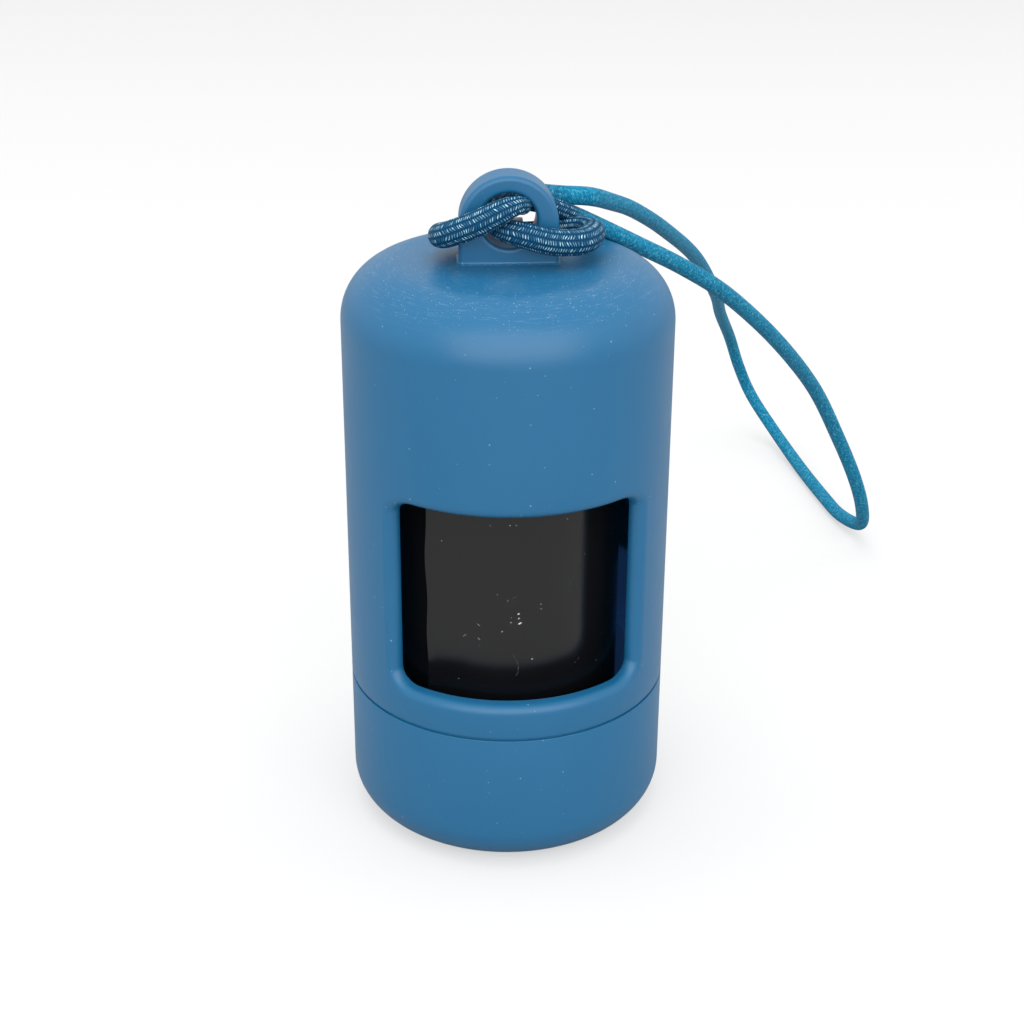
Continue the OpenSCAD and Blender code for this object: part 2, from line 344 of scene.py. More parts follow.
def windowOffset(x, z, s):
    # distance from the window's outline, and the direction away from it, in mm
    x -= s["windowMid"]
    midZ = (s["windowLow"] + s["windowHigh"]) / 2
    halfX = s["windowHalf"] - s["corner"]
    halfZ = (s["windowHigh"] - s["windowLow"]) / 2 - s["corner"]
    overX, overZ = max(abs(x) - halfX, 0), max(abs(z - midZ) - halfZ, 0)
    if overX > 0 and overZ > 0:
        reach = math.hypot(overX, overZ)
        away = math.copysign(overX / reach, x), math.copysign(overZ / reach, z - midZ)
        return reach - s["corner"], away
    if abs(x) / s["windowHalf"] > abs(z - midZ) / (halfZ + s["corner"]):
        return abs(x) - s["windowHalf"], (math.copysign(1, x), 0)
    return abs(z - midZ) - halfZ - s["corner"], (0, math.copysign(1, z - midZ))


def onCylinder(angle, radius, z):
    return Vector((radius * math.sin(angle), -radius * math.cos(angle), z)) * mm


def addWindow(bm, s):
    # The front patch starts flat, gets its rounded hole, is cut into the body's
    # columns, then bends to the wall. The hole's edge rolls in and runs back.
    outer, ease, bore = s["outerR"], s["edgeRound"], s["boreR"]
    edgeSteps = s["edgeSteps"]
    turn = math.tau / s["steps"]
    edgeX = outer * math.sin(s["sheetTurns"] * turn)
    patch = bmesh.new()
    bmesh.ops.create_grid(patch, x_segments=1, y_segments=1, size=0.5)
    spread = outer / (outer - ease)
    for v in patch.verts:
        v.co.x = (s["windowMid"] + math.copysign(s["windowHalf"] + ease, v.co.x)) * spread
        v.co.y = s["windowLow"] - ease if v.co.y < 0 else s["windowHigh"] + ease
    bmesh.ops.bevel(patch, geom=patch.verts[:], offset=s["corner"] + ease, offset_type="OFFSET",
                    segments=s["cornerSteps"], profile=0.5, affect="VERTICES", material=-1,
                    clamp_overlap=False)
    bmesh.ops.delete(patch, geom=patch.faces[:], context="FACES_ONLY")
    sheet = [patch.verts.new((x, z, 0)) for x, z in (
        (-edgeX, s["sheetLow"]), (edgeX, s["sheetLow"]),
        (edgeX, s["sheetHigh"]), (-edgeX, s["sheetHigh"]))]
    for i in range(4):
        patch.edges.new((sheet[i], sheet[(i + 1) % 4]))
    bmesh.ops.triangle_fill(patch, use_beauty=True, edges=patch.edges[:])
    for k in range(-s["sheetTurns"] + 1, s["sheetTurns"]):
        bmesh.ops.bisect_plane(patch, geom=patch.verts[:] + patch.edges[:] + patch.faces[:],
                               plane_co=(outer * math.sin(k * turn), 0, 0), plane_no=(1, 0, 0),
                               dist=1e-5)

    def onRim(v):
        return abs(windowOffset(v.co.x / spread, v.co.y, s)[0] - ease) < s["rimSearch"]

    rim = [e for e in patch.edges if e.is_boundary and all(onRim(v) for v in e.verts)]
    rimVerts = {v for e in rim for v in e.verts}
    # the inner skin is a copy of the flat patch
    copied = bmesh.ops.duplicate(patch, geom=patch.verts[:] + patch.edges[:] + patch.faces[:])
    innerOf = {v: copied["vert_map"][v] for v in rimVerts}
    innerVerts = [g for g in copied["geom"] if isinstance(g, bmesh.types.BMVert)]
    innerFaces = [g for g in copied["geom"] if isinstance(g, bmesh.types.BMFace)]
    facts = {}
    for v in rimVerts:
        x, z = v.co.x / spread, v.co.y
        gap, away = windowOffset(x, z, s)
        facts[v] = (x, z, gap, away)
    innerRim = set(innerOf.values())
    for v in innerVerts:
        if v not in innerRim:
            v.co = onCylinder(math.asin(v.co.x / outer), bore, v.co.y)
    targets = {}
    for v, (x, z, gap, away) in facts.items():
        ball = Vector((x, -math.sqrt((outer - ease) ** 2 - x ** 2), z))
        start = Vector((ball.x, ball.y, 0)).normalized()
        end = Vector((-away[0], 0, -away[1]))
        turnAll = start.angle(end)
        targets[v] = []
        for k in range(1, edgeSteps + 1):
            t = k / edgeSteps
            mix = math.sin((1 - t) * turnAll) * start + math.sin(t * turnAll) * end
            targets[v].append((ball + ease * mix / math.sin(turnAll)) * mm)
        wallX, wallZ = x - away[0] * gap, z - away[1] * gap
        innerOf[v].co = Vector((wallX, -math.sqrt(bore ** 2 - wallX ** 2), wallZ)) * mm
    for v in [v for v in patch.verts if v not in innerVerts]:
        v.co = onCylinder(math.asin(max(-1, min(1, v.co.x / outer))), outer, v.co.y)
    ring, rootOf = rim, {v: v for v in rimVerts}
    for k in range(edgeSteps):
        ring, rootOf = growRing(patch, ring, rootOf)
        for v, root in rootOf.items():
            v.co = targets[root][k]
    ring, rootOf = growRing(patch, ring, rootOf)
    for v, root in rootOf.items():
        v.co = innerOf[root].co
    bmesh.ops.reverse_faces(patch, faces=[f for f in innerFaces if f.is_valid])
    joinInto(bm, patch)


def addBody(s):
    bm = bmesh.new()
    spinProfile(bm, bodyProfile(s), s["steps"], closed=False)
    # opens the front of both walls for the window's patch
    turn = math.tau / s["steps"]
    front = []
    for f in bm.faces:
        c = f.calc_center_median()
        angle = math.atan2(c.x, -c.y)
        radius = math.hypot(c.x, c.y) / mm
        if (abs(angle) < s["sheetTurns"] * turn and s["sheetLow"] < c.z / mm < s["sheetHigh"]
                and radius > s["boreR"] - 1):
            front.append(f)
    bmesh.ops.delete(bm, geom=front, context="FACES")
    addWindow(bm, s)
    turnOutward(bm)
    helicalRidge(bm, s["neckR"] - ridgeSetup["sunk"], s["thread"], ridgeSetup)
    bmesh.ops.recalc_face_normals(bm, faces=bm.faces[:])
    return newObject("potBody", bm, 32)


body = addBody(bodySetup)
print("body made", len(body.data.polygons))


# --- eye on the body's top, with its cord hole

eyeSetup = {
    "width": 12.9, "thick": 5, "arcZ": 85.05, "foot": 79, "holeR": 3.6, "holeZ": 85.7,
    "rimRound": 0.55, "edgeRound": 0.6, "roundSteps": 6, "segments": 120,
    "flatStrip": 0.1,    # mm of flat beside each rounded edge
    "footReach": 1.5,    # widens the foot's arc past the corners, where it is cut off
    "flare": 0.4, "flareTop": 80.4, "flareInset": 0.01, "flareSunk": 0.4,
}


def addEye(s):
    # Rings run once round the section, from the front rim of the hole over the
    # outside to its back rim. A ring of the hole is a round. One of the outside
    # is an arch with a flat foot.
    half, deep, rim, edge = s["width"] / 2, s["thick"] / 2, s["rimRound"], s["edgeRound"]
    strip, arcSteps = s["flatStrip"], s["roundSteps"]
    rings = [(True, rim - r, -deep + rim - y) for r, y in arcPoints(0, 0, rim, 0, 90, arcSteps)]
    rings += [(True, rim + strip, -deep), (False, edge + strip, -deep)]
    rings += [(False, edge - r, -deep + edge - y)
              for r, y in arcPoints(0, 0, edge, 90, 0, arcSteps)]
    rings += [(False, 0, -deep + edge + strip)]
    rings += [(inHole, inset, -y) for inHole, inset, y in rings[::-1]]
    bm = bmesh.new()
    bmesh.ops.create_grid(bm, x_segments=s["segments"], y_segments=len(rings), size=0.5)
    for v in bm.verts:
        inHole, inset, y = rings[round((v.co.y + 0.5) * len(rings)) % len(rings)]
        # the first and last columns share their angle, so the seam closes
        a = math.tau * (round((v.co.x + 0.5) * s["segments"]) % s["segments"]) / s["segments"]
        if inHole:
            reach = s["holeR"] + inset
            v.co = Vector((reach * math.cos(a), y, s["holeZ"] + reach * math.sin(a)))
        elif a < math.pi + 1e-6:
            reach = half - inset
            v.co = Vector((reach * math.cos(a), y, s["arcZ"] + reach * math.sin(a)))
        else:
            share = min(1, max(-1, s["footReach"] * math.cos(a)))
            v.co = Vector(((half - inset) * share, y, s["foot"] + inset))
    turnOutward(bm)
    # a small hollow flare where the eye stands on the top
    flare = bmesh.new()
    bmesh.ops.create_grid(flare, x_segments=1, y_segments=1, size=0.5)
    inset = 2 * s["flareInset"]
    for v in flare.verts:
        v.co = Vector((v.co.x * (s["width"] - inset), v.co.y * (s["thick"] - inset), s["flareTop"]))
    bmesh.ops.bevel(flare, geom=flare.verts[:], offset=s["edgeRound"], offset_type="OFFSET",
                    segments=4, profile=0.5, affect="VERTICES", material=-1)
    ring = [e for e in flare.edges if e.is_boundary]
    halfX, halfY = s["width"] / 2 - s["edgeRound"], s["thick"] / 2 - s["edgeRound"]
    rootOf = {v: v.co.copy() for v in flare.verts}
    for k in range(1, arcSteps + 1):
        a = math.radians(90 * k / arcSteps)
        out, drop = s["flare"] * (1 - math.cos(a)), s["flare"] * math.sin(a)
        if k == arcSteps:
            drop += s["flareSunk"]
        ring, rootOf = growRing(flare, ring, rootOf)
        for v, root in rootOf.items():
            core = Vector((max(-halfX, min(halfX, root.x)), max(-halfY, min(halfY, root.y)), 0))
            away = Vector((root.x, root.y, 0)) - core
            away = away.normalized() if away.length > 1e-6 else Vector((0, 0, 0))
            v.co = Vector((root.x, root.y, s["flareTop"] - drop)) + away * out
    bmesh.ops.contextual_create(flare, geom=ring)
    turnOutward(flare)
    joinInto(bm, flare)
    bmesh.ops.scale(bm, vec=(mm, mm, mm), verts=bm.verts[:])
    bmesh.ops.recalc_face_normals(bm, faces=bm.faces[:])
    return newObject("cordEye", bm, 50)


eye = addEye(eyeSetup)
print("eye made")


# --- screw cap: rounded foot, thread and the stub that centres the roll

capSetup = {
    "outerR": 22, "boreR": 20, "high": 20.36, "wall": 2, "foot": 5.9, "seamEase": 0.08,
    "stubR": 5.3, "stubBore": 3.8, "stubTop": 7, "steps": 144,
    "boreEase": 0.2, "stubRoot": 0.3, "stubEase": 0.4,
    "thread": {"crestR": 19.1, "startZ": 12.2, "pitch": 4, "turns": 1.2},
}


def addCap(s):
    inner = s["foot"] - s["wall"]
    outer, high, ease = s["outerR"], s["high"], s["seamEase"]
    profile = [(0, 0)] + arcPoints(outer - s["foot"], s["foot"], s["foot"], -90, 0, 18)
    profile += arcPoints(outer - ease, high - ease, ease, 0, 90, 4)
    boreR, wall, boreEase = s["boreR"], s["wall"], s["boreEase"]
    profile += [(boreR + boreEase, high), (boreR, high - boreEase)]
    profile += arcPoints(boreR - inner, wall + inner, inner, 0, -90, 10)
    stubR, stubBore, stubTop = s["stubR"], s["stubBore"], s["stubTop"]
    root, stubEase = s["stubRoot"], s["stubEase"]
    profile += [(stubR + root, wall), (stubR, wall + root), (stubR, stubTop - stubEase),
                (stubR - stubEase, stubTop), (stubBore + boreEase, stubTop),
                (stubBore, stubTop - boreEase), (stubBore, wall), (0, wall)]
    bm = bmesh.new()
    spinProfile(bm, profile, s["steps"], closed=False)
    turnOutward(bm)
    helicalRidge(bm, s["boreR"] + ridgeSetup["sunk"], s["thread"], ridgeSetup)
    bmesh.ops.recalc_face_normals(bm, faces=bm.faces[:])
    return newObject("screwCap", bm, 32)


cap = addCap(capSetup)
print("cap made")


# --- roll of bags, wound film with its layers showing at both ends

rollSetup = {
    "outerR": 15.5, "coreR": 6.62, "low": 2.5, "high": 62.5, "layers": 20, "steps": 360,
    "endRise": 0.22, "endEase": 0.12, "seed": 4,
    "fineLow": 24, "fineHigh": 54, "fineGap": 0.26, "wideGap": 1.5,
    # the loose end: degrees from the front where it stands off, starts to curl and ends
    "flapFrom": -24.5, "curlFrom": -38.5, "flapTo": -43.2, "curl": 0.006, "edgeReach": 6,
    # how the free edge wanders: degrees, how often in a mm, where it starts
    "waves": [(0.5, 0.55, 0), (0.3, 0.23, 1)],
    "foldShare": 0.45,     # of each layer, where its end stands up
    "skin": 0.15,          # mm between the outer turn and the ends
    # dents: degrees from the front, height, half width, half height, depth in mm
    "dents": [
        (-1.9, 38.6, 0.5, 0.4, 0.1), (1.1, 38.2, 0.7, 0.4, 0.14), (-0.4, 37.5, 0.4, 0.4, 0.09),
        (2.6, 38.9, 0.5, 0.4, -0.08), (8.4, 38.5, 0.4, 0.35, 0.08), (-7.2, 38.7, 0.5, 0.35, 0.07),
        (3.7, 35.4, 0.6, 0.8, 0.15), (-0.4, 34.9, 0.5, 0.5, 0.1), (-4.7, 33.4, 0.35, 0.35, 0.07),
        (14.6, 36.8, 0.35, 0.7, 0.08), (31.6, 38.6, 0.35, 0.9, 0.14), (-9, 44, 3, 6, 0.02),
        (6, 46, 2.5, 7, -0.02), (20, 32, 3, 5, 0.02),
    ],
}


def filmRadius(angle, z, s):
    # radius of the outer turn, with its loose end and its dents
    radius = s["outerR"]
    if s["flapTo"] <= angle <= s["flapFrom"]:
        radius /= math.cos(math.radians(angle - s["flapFrom"]))
        radius += s["curl"] * max(0, s["curlFrom"] - angle) ** 2
    for at, high, halfU, halfZ, depth in s["dents"]:
        u = math.radians(angle - at) * s["outerR"] / halfU
        w = (z - high) / halfZ
        if u * u + w * w < 9:
            radius -= depth * math.exp(-u * u - w * w)
    return radius


def addRoll(s):
    rng = random.Random(s["seed"])
    outer, core = s["outerR"], s["coreR"]
    lows, highs = [], []
    for i in range(s["layers"] + 1):
        r = core + (outer - core) * i / s["layers"]
        for share in (0.0, s["foldShare"]):
            if i == s["layers"] and share:
                continue
            rr = r + share * (outer - core) / s["layers"]
            rise = 0.2 + 0.8 * rng.random() if share else 0.3 * rng.random()
            rise *= s["endRise"]
            lows.append((rr, s["low"] + s["endRise"] - rise))
            highs.append((rr, s["high"] - s["endRise"] + rise))
    lows[-1] = (outer - s["endEase"], s["low"] + s["endRise"])
    highs[-1] = (outer - s["endEase"], s["high"] - s["endRise"])
    side, z, top = [], s["low"] + s["endRise"] + s["skin"], s["high"] - s["endRise"] - s["skin"]
    while z < top:
        side.append((outer, z))
        z += s["fineGap"] if s["fineLow"] < z < s["fineHigh"] else s["wideGap"]
    profile = lows + side + [(outer, top)] + highs[::-1]
    bm = bmesh.new()
    spinProfile(bm, profile, s["steps"])
    for v in bm.verts:
        x, y, z = v.co / mm
        if math.hypot(x, y) < outer - 0.2:
            continue
        angle = math.degrees(math.atan2(x, -y))
        # the free edge runs a little wavy down the roll
        near = max(0, 1 - abs(angle - s["flapTo"]) / s["edgeReach"])
        wave = sum(size * math.sin(z * often + start) for size, often, start in s["waves"])
        radius = filmRadius(angle, z, s) - outer + math.hypot(x, y)
        v.co = onCylinder(math.radians(angle + near * wave), radius, z)
    turnOutward(bm)
    return newObject("filmRoll", bm, 50)


roll = addRoll(rollSetup)
print("roll made")


# --- paper core of the roll

coreSetup = {"outerR": 6.5, "boreR": 5.6, "low": 2, "high": 63, "ease": 0.12, "steps": 96,
             "rows": 20}


def addCore(s):
    e, outer, bore, low, high = s["ease"], s["outerR"], s["boreR"], s["low"], s["high"]
    profile = [(bore, low + e), (bore + e, low), (outer - e, low), (outer, low + e)]
    profile += [(outer, low + (high - low) * i / s["rows"]) for i in range(1, s["rows"])]
    profile += [(outer, high - e), (outer - e, high), (bore + e, high), (bore, high - e)]
    bm = bmesh.new()
    spinProfile(bm, profile, s["steps"])
    turnOutward(bm)
    return newObject("paperCore", bm, 50)


core = addCore(coreSetup)
print("core made")


# --- materials

def newGroup(name, ins, outs):
    group = bpy.data.node_groups.new(name, "ShaderNodeTree")
    for label, kind, value in ins:
        socket = group.interface.new_socket(name=label, in_out="INPUT", socket_type=kind)
        if value is not None:
            socket.default_value = value
    for label, kind in outs:
        group.interface.new_socket(name=label, in_out="OUTPUT", socket_type=kind)
    return group, group.nodes.new("NodeGroupInput"), group.nodes.new("NodeGroupOutput")


def feed(tree, socket, value):
    # a socket is linked, and anything else is a fixed value
    if isinstance(value, bpy.types.NodeSocket):
        tree.links.new(value, socket)
    else:
        socket.default_value = value


def addNode(tree, kind, settings=None, inputs=None):
    node = tree.nodes.new(kind)
    for key, value in (settings or {}).items():
        setattr(node, key, value)
    for key, value in (inputs or {}).items():
        feed(tree, node.inputs[key], value)
    return node


def doMath(tree, operation, a, b=None, c=None, clamp=False):
    inputs = {i: value for i, value in enumerate((a, b, c)) if value is not None}
    settings = {"operation": operation, "use_clamp": clamp}
    return addNode(tree, "ShaderNodeMath", settings, inputs).outputs[0]


def times(tree, *factors):
    product = factors[0]
    for factor in factors[1:]:
        product = doMath(tree, "MULTIPLY", product, factor)
    return product


def addNoise(tree, place, scale, detail, roughness=0.5):
    return addNode(tree, "ShaderNodeTexNoise", None, {
        "Vector": place, "Scale": scale, "Detail": detail, "Roughness": roughness}).outputs[0]


def remap(tree, value, low, high, toLow=0.0, toHigh=1.0):
    return addNode(tree, "ShaderNodeMapRange", {"interpolation_type": "SMOOTHSTEP"},
                   {"Value": value, "From Min": low, "From Max": high,
                    "To Min": toLow, "To Max": toHigh}).outputs["Result"]


def mixColour(tree, factor, a, b):
    # the colour sockets of a Mix node are 6 and 7 in, 2 out
    inputs = {0: factor, 6: a, 7: b}
    return addNode(tree, "ShaderNodeMix", {"data_type": "RGBA"}, inputs).outputs[2]


def dressSkin(tree, skin, look, colour, roughness, height):
    bump = addNode(tree, "ShaderNodeBump", None, {
        "Height": height, "Strength": look["bumpStrength"], "Distance": look["bumpDistance"]})
    for label, value in (("Base Color", colour), ("Roughness", roughness),
                         ("Specular IOR Level", look["specular"]),
                         ("Normal", bump.outputs["Normal"])):
        feed(tree, skin.inputs[label], value)


def dustGroup():
    # scattered pale specks; Amount is the share of cells that hold one
    group, ins, outs = newGroup("dustSpecks", [
        ("Vector", "NodeSocketVector", None), ("Scale", "NodeSocketFloat", 400.0),
        ("Amount", "NodeSocketFloat", 0.4), ("Size", "NodeSocketFloat", 0.06)],
        [("Mask", "NodeSocketFloat")])
    cells = addNode(group, "ShaderNodeTexVoronoi", {"feature": "F1"},
                    {"Vector": ins.outputs["Vector"], "Scale": ins.outputs["Scale"]})
    split = addNode(group, "ShaderNodeSeparateColor", None, {"Color": cells.outputs["Color"]})
    radius = times(group, split.outputs[0], ins.outputs["Size"])
    inside = doMath(group, "LESS_THAN", cells.outputs["Distance"], radius)
    kept = doMath(group, "LESS_THAN", split.outputs[1], ins.outputs["Amount"])
    bright = doMath(group, "MULTIPLY_ADD", split.outputs[2], 0.7, 0.3)
    group.links.new(times(group, inside, kept, bright), outs.inputs["Mask"])
    return group


def grainGroup():
    # the fine satin grain of soft-touch plastic, with faint waviness
    group, ins, outs = newGroup("satinGrain", [
        ("Vector", "NodeSocketVector", None), ("Scale", "NodeSocketFloat", 9000.0)],
        [("Height", "NodeSocketFloat"), ("Cloud", "NodeSocketFloat")])
    fine = addNoise(group, ins.outputs["Vector"], ins.outputs["Scale"], 2.0, 0.6)
    cloud = addNoise(group, ins.outputs["Vector"], 70.0, 4.0, 0.55)
    group.links.new(fine, outs.inputs["Height"])
    group.links.new(cloud, outs.inputs["Cloud"])
    return group


dustSpecks = dustGroup()
satinGrain = grainGroup()
cloudRange = (0.3, 0.7)   # of a noise, spread out to 0 to 1


def useGroup(tree, group, inputs):
    return addNode(tree, "ShaderNodeGroup", {"node_tree": group}, inputs)


def addSpecks(tree, place, look, kind):
    return useGroup(tree, dustSpecks, {
        "Vector": place, "Scale": look[kind + "Scale"], "Amount": look[kind + "Amount"],
        "Size": look[kind + "Size"]}).outputs["Mask"]


def newMaterial(name):
    material = bpy.data.materials.new(name)
    material.use_nodes = True
    tree = material.node_tree
    return material, tree, tree.nodes["Principled BSDF"]


def satinPlastic(name, look):
    material, tree, skin = newMaterial(name)
    place = tree.nodes.new("ShaderNodeTexCoord").outputs["Object"]
    grain = useGroup(tree, satinGrain, {"Vector": place, "Scale": look["grainScale"]})
    sparse = addSpecks(tree, place, look, "dust")
    fine = addSpecks(tree, place, look, "top")
    xyz = addNode(tree, "ShaderNodeSeparateXYZ", None, {"Vector": place})
    # the top of the dome alone, not the eye that stands on it
    onTop = times(tree, remap(tree, xyz.outputs["Z"], *look["topFrom"]),
                  remap(tree, xyz.outputs["Z"], *look["topTo"]))
    topDust = times(tree, onTop, look["topStrength"], fine)
    # short rub marks that run round the eye, where the cord sweeps the top
    level = addNode(tree, "ShaderNodeCombineXYZ", None,
                    {"X": xyz.outputs["X"], "Y": xyz.outputs["Y"]})
    radius = addNode(tree, "ShaderNodeVectorMath", {"operation": "LENGTH"}, {0: level.outputs[0]})
    angle = doMath(tree, "ARCTAN2", xyz.outputs["Y"], xyz.outputs["X"])
    polar = addNode(tree, "ShaderNodeCombineXYZ", None,
                    {"X": times(tree, radius.outputs["Value"], look["rubRings"]),
                     "Y": times(tree, angle, look["rubSpokes"])})
    rubs = remap(tree, addNoise(tree, polar.outputs[0], 1.0, 3.0, 0.7), *look["rubRange"])
    rubMask = times(tree, rubs, onTop, look["rubStrength"])
    dust = doMath(tree, "MAXIMUM", sparse, topDust)
    marks = doMath(tree, "MAXIMUM", dust, rubMask, clamp=True)
    base = mixColour(tree, grain.outputs["Cloud"], look["deep"], look["light"])
    tinted = mixColour(tree, times(tree, marks, look["dustStrength"]), base, look["dust"])
    rough = remap(tree, grain.outputs["Cloud"], *cloudRange,
                  look["roughness"] - look["roughSpread"], look["roughness"] + look["roughSpread"])
    dressSkin(tree, skin, look, tinted, rough, grain.outputs["Height"])
    # painted light: a faint blue glow on the inner wall, seen inside, low down behind the roll on
    # its right, where the window's light falls
    offWall = doMath(tree, "SUBTRACT", radius.outputs["Value"], look["wallR"])
    inside = doMath(tree, "LESS_THAN", doMath(tree, "ABSOLUTE", offWall), look["wallHalf"])
    low = remap(tree, xyz.outputs["Z"], *look["throughZ"])
    right = remap(tree, xyz.outputs["X"], *look["throughX"])
    back = remap(tree, xyz.outputs["Y"], *look["throughY"])
    through = times(tree, inside, low, times(tree, right, back))
    glow = mixColour(tree, through, (0, 0, 0, 1), look["through"])
    tree.links.new(glow, skin.inputs["Emission Color"])
    skin.inputs["Emission Strength"].default_value = 1.0
    return material


bluePlastic = {
    "deep": (0.0065, 0.102, 0.222, 1), "light": (0.009, 0.112, 0.242, 1),
    # the last colour here is a painted glow for the inner wall, where the window's light falls
    "dust": (0.5, 0.6, 0.67, 1), "through": (0.004, 0.012, 0.04, 1),
    "roughness": 0.37, "roughSpread": 0.03, "specular": 0.48,
    "grainScale": 9000.0, "bumpStrength": 0.25, "bumpDistance": 0.00003,
    "dustScale": 1000.0, "dustAmount": 0.45, "dustSize": 0.1, "dustStrength": 0.5,
    "topScale": 3000.0, "topAmount": 0.7, "topSize": 0.26, "topStrength": 0.8,
    # heights in metres where the top's dust comes in, and where it goes at the eye
    "topFrom": (0.0755, 0.0795), "topTo": (0.0806, 0.0801),
    "rubRings": 4200.0, "rubSpokes": 5.0, "rubRange": (0.54, 0.72), "rubStrength": 0.22,
    # where the painted glow lies on the inner wall: its radius, half its thickness, then the
    # Z, X and Y in metres from which and to which it comes in
    "wallR": 0.0188, "wallHalf": 0.0014,
    "throughZ": (0.0338, 0.0326), "throughX": (0.0135, 0.015), "throughY": (0.002, 0.0032),
}


def strokeGroup():
    # one short stroke on the unrolled film; its centre and half size are in mm
    group, ins, outs = newGroup("filmStroke", [
        ("Vector", "NodeSocketVector", None), ("Centre", "NodeSocketVector", None),
        ("Half", "NodeSocketVector", (1, 1, 1)), ("Lean", "NodeSocketFloat", 0.0)],
        [("Mask", "NodeSocketFloat")])
    turned = addNode(group, "ShaderNodeVectorRotate", {"rotation_type": "Z_AXIS"},
                     {"Vector": ins.outputs["Vector"], "Center": ins.outputs["Centre"],
                      "Angle": ins.outputs["Lean"]})
    gap = addNode(group, "ShaderNodeVectorMath", {"operation": "SUBTRACT"},
                  {0: turned.outputs[0], 1: ins.outputs["Centre"]})
    share = addNode(group, "ShaderNodeVectorMath", {"operation": "DIVIDE"},
                    {0: gap.outputs[0], 1: ins.outputs["Half"]})
    reach = addNode(group, "ShaderNodeVectorMath", {"operation": "LENGTH"}, {0: share.outputs[0]})
    group.links.new(remap(group, reach.outputs["Value"], 1.0, 0.5), outs.inputs["Mask"])
    return group


filmStroke = strokeGroup()


def filmMaterial(name, look):
    material, tree, skin = newMaterial(name)
    place = tree.nodes.new("ShaderNodeTexCoord").outputs["Object"]
    specks = addSpecks(tree, place, look, "speck")
    wide = addNoise(tree, place, look["cloudScale"], 3.0)
    base = mixColour(tree, wide, look["deep"], look["light"])
    # pale marks placed on the film as it lies round the roll: painted glints on its dents, with
    # scuffs, specks and a fine scratch
    xyz = addNode(tree, "ShaderNodeSeparateXYZ", None, {"Vector": place})
    toFront = times(tree, xyz.outputs["Y"], -1.0)
    angle = doMath(tree, "ARCTAN2", xyz.outputs["X"], toFront)
    flat = addNode(tree, "ShaderNodeCombineXYZ", None, {
        "X": times(tree, angle, rollSetup["outerR"]),
        "Y": times(tree, xyz.outputs["Z"], 1 / mm)}).outputs[0]
    marks = times(tree, specks, look["speckStrength"])
    for degrees, high, halfLong, halfWide, lean, strength in look["strokes"]:
        stroke = useGroup(tree, filmStroke, {
            "Vector": flat, "Centre": (math.radians(degrees) * rollSetup["outerR"], high, 0),
            "Half": (halfLong, halfWide, 1), "Lean": math.radians(-lean)})
        marks = doMath(tree, "MAXIMUM", marks, times(tree, stroke.outputs["Mask"], strength))
    tinted = mixColour(tree, marks, base, look["dust"])
    rough = remap(tree, wide, *cloudRange, *look["roughness"])
    stretched = addNode(tree, "ShaderNodeMapping", {"vector_type": "POINT"},
                        {"Vector": place, "Scale": look["rippleStretch"]})
    ripple = addNoise(tree, stretched.outputs[0], look["rippleScale"], 2.0)
    dressSkin(tree, skin, look, tinted, rough, ripple)
    return material


blackFilm = {
    "deep": (0.0035, 0.0035, 0.004, 1), "light": (0.006, 0.006, 0.0068, 1),
    # the pale colour serves dust specks and painted glints alike
    "dust": (0.8, 0.8, 0.84, 1), "roughness": (0.18, 0.24), "specular": 0.5,
    "cloudScale": 60.0,
    "speckScale": 1000.0, "speckAmount": 0.2, "speckSize": 0.1, "speckStrength": 0.3,
    "rippleScale": 900.0, "rippleStretch": (1.0, 1.0, 0.25),
    "bumpStrength": 0.15, "bumpDistance": 0.00005,
    # degrees from the front, height, half length, half width, lean in degrees, strength
    # the first three marks, and the small ones on the dents, are painted glints; the others are
    # scuffs, specks and a fine scratch
    "strokes": [
        (3.4, 36.0, 0.21, 0.14, 30, 0.7), (3.6, 35.3, 0.2, 0.1, 20, 0.45),
        (4.1, 34.6, 0.33, 0.12, 25, 0.75), (-0.3, 34.75, 0.18, 0.11, 0, 0.2),
        (-0.2, 35.5, 0.14, 0.1, 60, 0.1), (-4.7, 33.4, 0.18, 0.12, 30, 0.22),
        (-16.4, 34.2, 0.35, 0.1, -40, 0.13), (-23.7, 32.3, 0.45, 0.09, 40, 0.12),
        (-16.2, 32.1, 0.3, 0.12, -40, 0.13), (14.6, 37.2, 0.16, 0.12, 0, 0.16),
        (14.7, 36.5, 0.2, 0.1, -30, 0.12), (10.3, 29.1, 0.18, 0.18, 0, 0.25),
        (1.4, 29.6, 0.5, 0.06, -55, 0.04), (2.9, 28.7, 0.6, 0.06, -72, 0.05),
        (3.4, 27.8, 0.5, 0.07, 85, 0.07), (2.9, 27, 0.5, 0.07, 60, 0.06),
        (-7.1, 38.9, 0.12, 0.12, 0, 0.1), (-1.9, 38.0, 0.2, 0.12, 60, 0.08),
        (1.5, 38.5, 0.5, 0.07, 35, 0.04), (36.5, 27.5, 0.35, 0.08, 55, 0.04),
        (-10.5, 48.9, 0.12, 0.12, 0, 0.12), (-1, 49.0, 0.15, 0.12, 0, 0.25),
        (2, 49.0, 0.15, 0.12, 0, 0.15), (28, 49, 0.13, 0.13, 0, 0.12),
    ],
}


